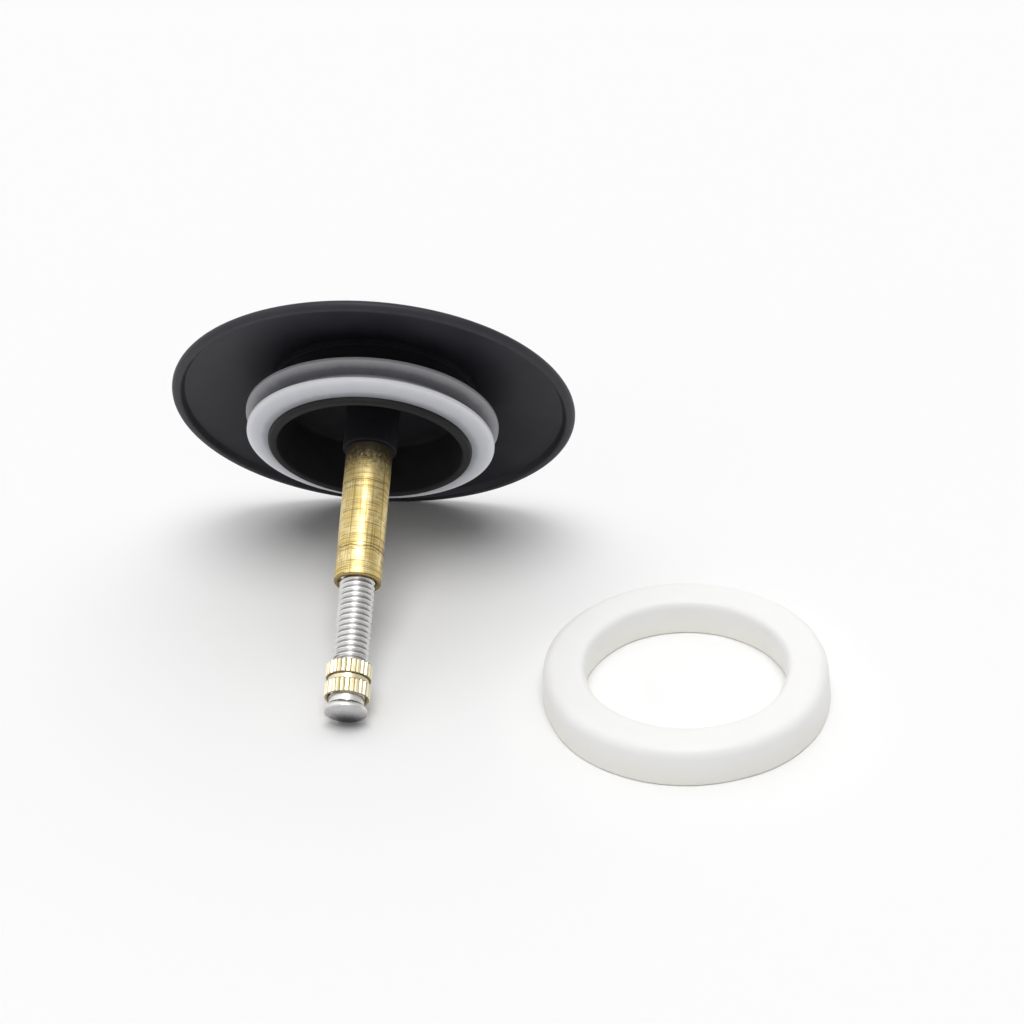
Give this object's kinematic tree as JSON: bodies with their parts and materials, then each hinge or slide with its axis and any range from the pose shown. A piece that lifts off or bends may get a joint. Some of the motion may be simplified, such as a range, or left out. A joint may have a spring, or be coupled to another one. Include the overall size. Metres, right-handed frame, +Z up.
{
  "type": "drain stopper",
  "caption": "Drain stopper lying on its side: domed cover over a plunger body with a lipped seal, a stem with an adjusting screw and lock nut, and a loose sealing ring.",
  "frame": {"origin": "middle of the set's footprint, on the surface that it lies on", "axes": "+Z up; +X to the right and +Y away as someone looks at the underside of the cover, with the stem leaning down towards -Y"},
  "size_m": [0.1096, 0.0868, 0.0616],
  "materials": {
    "cover_plate": "satin",
    "cover_stud": "satin",
    "stud_o_ring": "matte",
    "plunger_body": "satin",
    "lip_seal": "matte",
    "stem": "satin",
    "adjusting_screw": "polished",
    "lock_nut": "satin",
    "spare_seal_ring": "satin"
  },
  "bodies": {
    "stopper": {"cover_plate": "cover_plate", "cover_stud": "cover_stud", "stud_o_ring": "stud_o_ring", "plunger_body": "plunger_body", "lip_seal": "lip_seal", "stem": "stem"},
    "screw": {"adjusting_screw": "adjusting_screw"},
    "nut": {"lock_nut": "lock_nut"},
    "loose_ring": {"spare_seal_ring": "spare_seal_ring"}
  },
  "joints": [
    {"name": "screw_slide", "type": "slide", "parent": "stopper", "child": "screw", "axis": [-0.0971, -0.8722, -0.4794], "range_m": [-0.0049, 0.006]},
    {"name": "nut_slide", "type": "slide", "parent": "screw", "child": "nut", "axis": [0.0971, 0.8722, 0.4794], "range_m": [-0.0013, 0.0102]},
    {"name": "ring_lift", "type": "slide", "parent": "stopper", "child": "loose_ring", "axis": [0, 0, 1], "range_m": [0, 0.1]}
  ]
}
